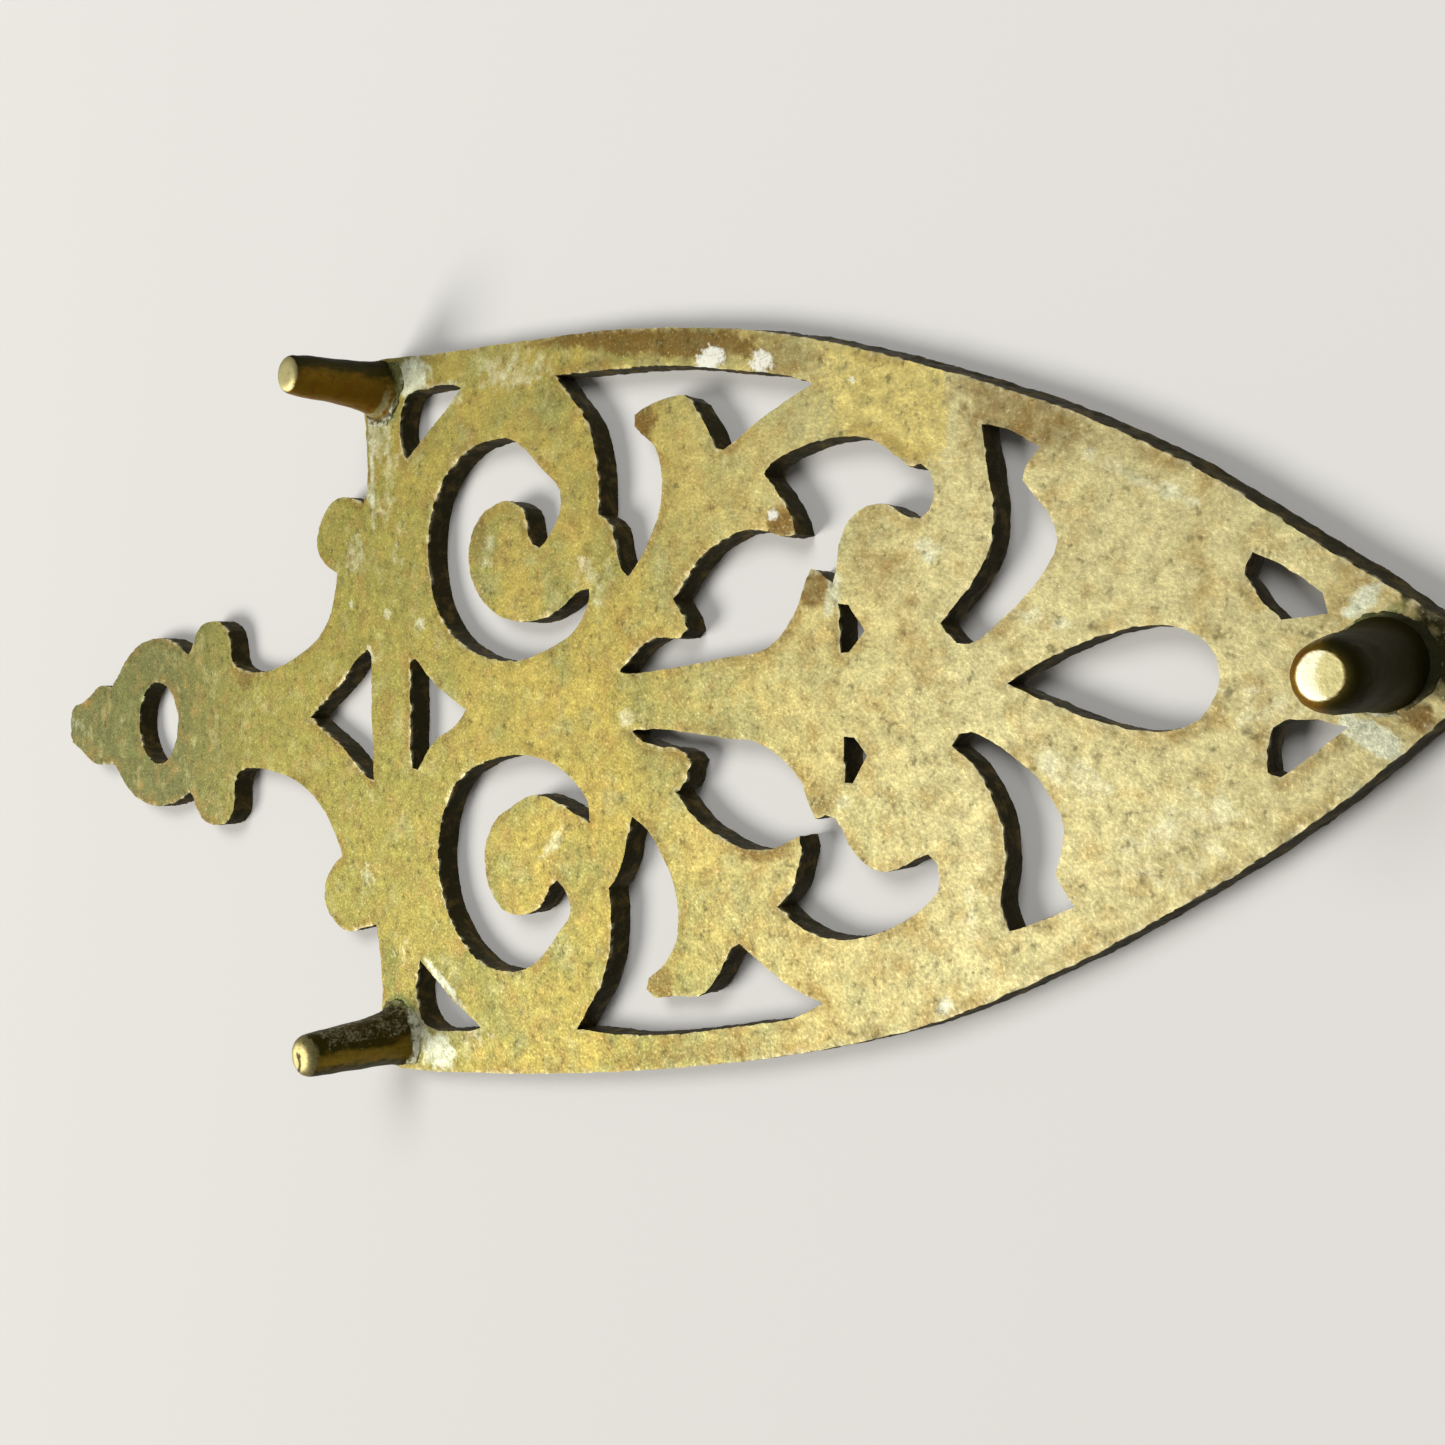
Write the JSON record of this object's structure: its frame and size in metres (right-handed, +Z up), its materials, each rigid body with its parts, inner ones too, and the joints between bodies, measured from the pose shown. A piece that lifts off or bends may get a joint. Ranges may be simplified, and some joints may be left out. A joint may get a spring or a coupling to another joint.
{
  "type": "flat iron trivet",
  "caption": "Cast brass stand for a flat iron: a heart-nosed plate fretted with scrolls and leaves, with a ring handle behind, standing on short round legs.",
  "frame": {"origin": "on the floor under the middle of the overall length and width", "axes": "+X toward the pointed nose, +Y to the left side seen from above, +Z up from the feet to the show face"},
  "size_m": [0.2564, 0.1035, 0.0185],
  "materials": {
    "plate": "aged cast brass, rough underneath",
    "leg": "tarnished turned brass, bright at the foot",
    "solder": "dull grey-green brazing run"
  },
  "bodies": {
    "root": {"fretted_plate": "plate", "rear_leg_left": "leg", "rear_leg_right": "leg", "nose_leg": "leg", "solder_rear_left": "solder", "solder_rear_right": "solder", "solder_nose": "solder"}
  },
  "joints": []
}
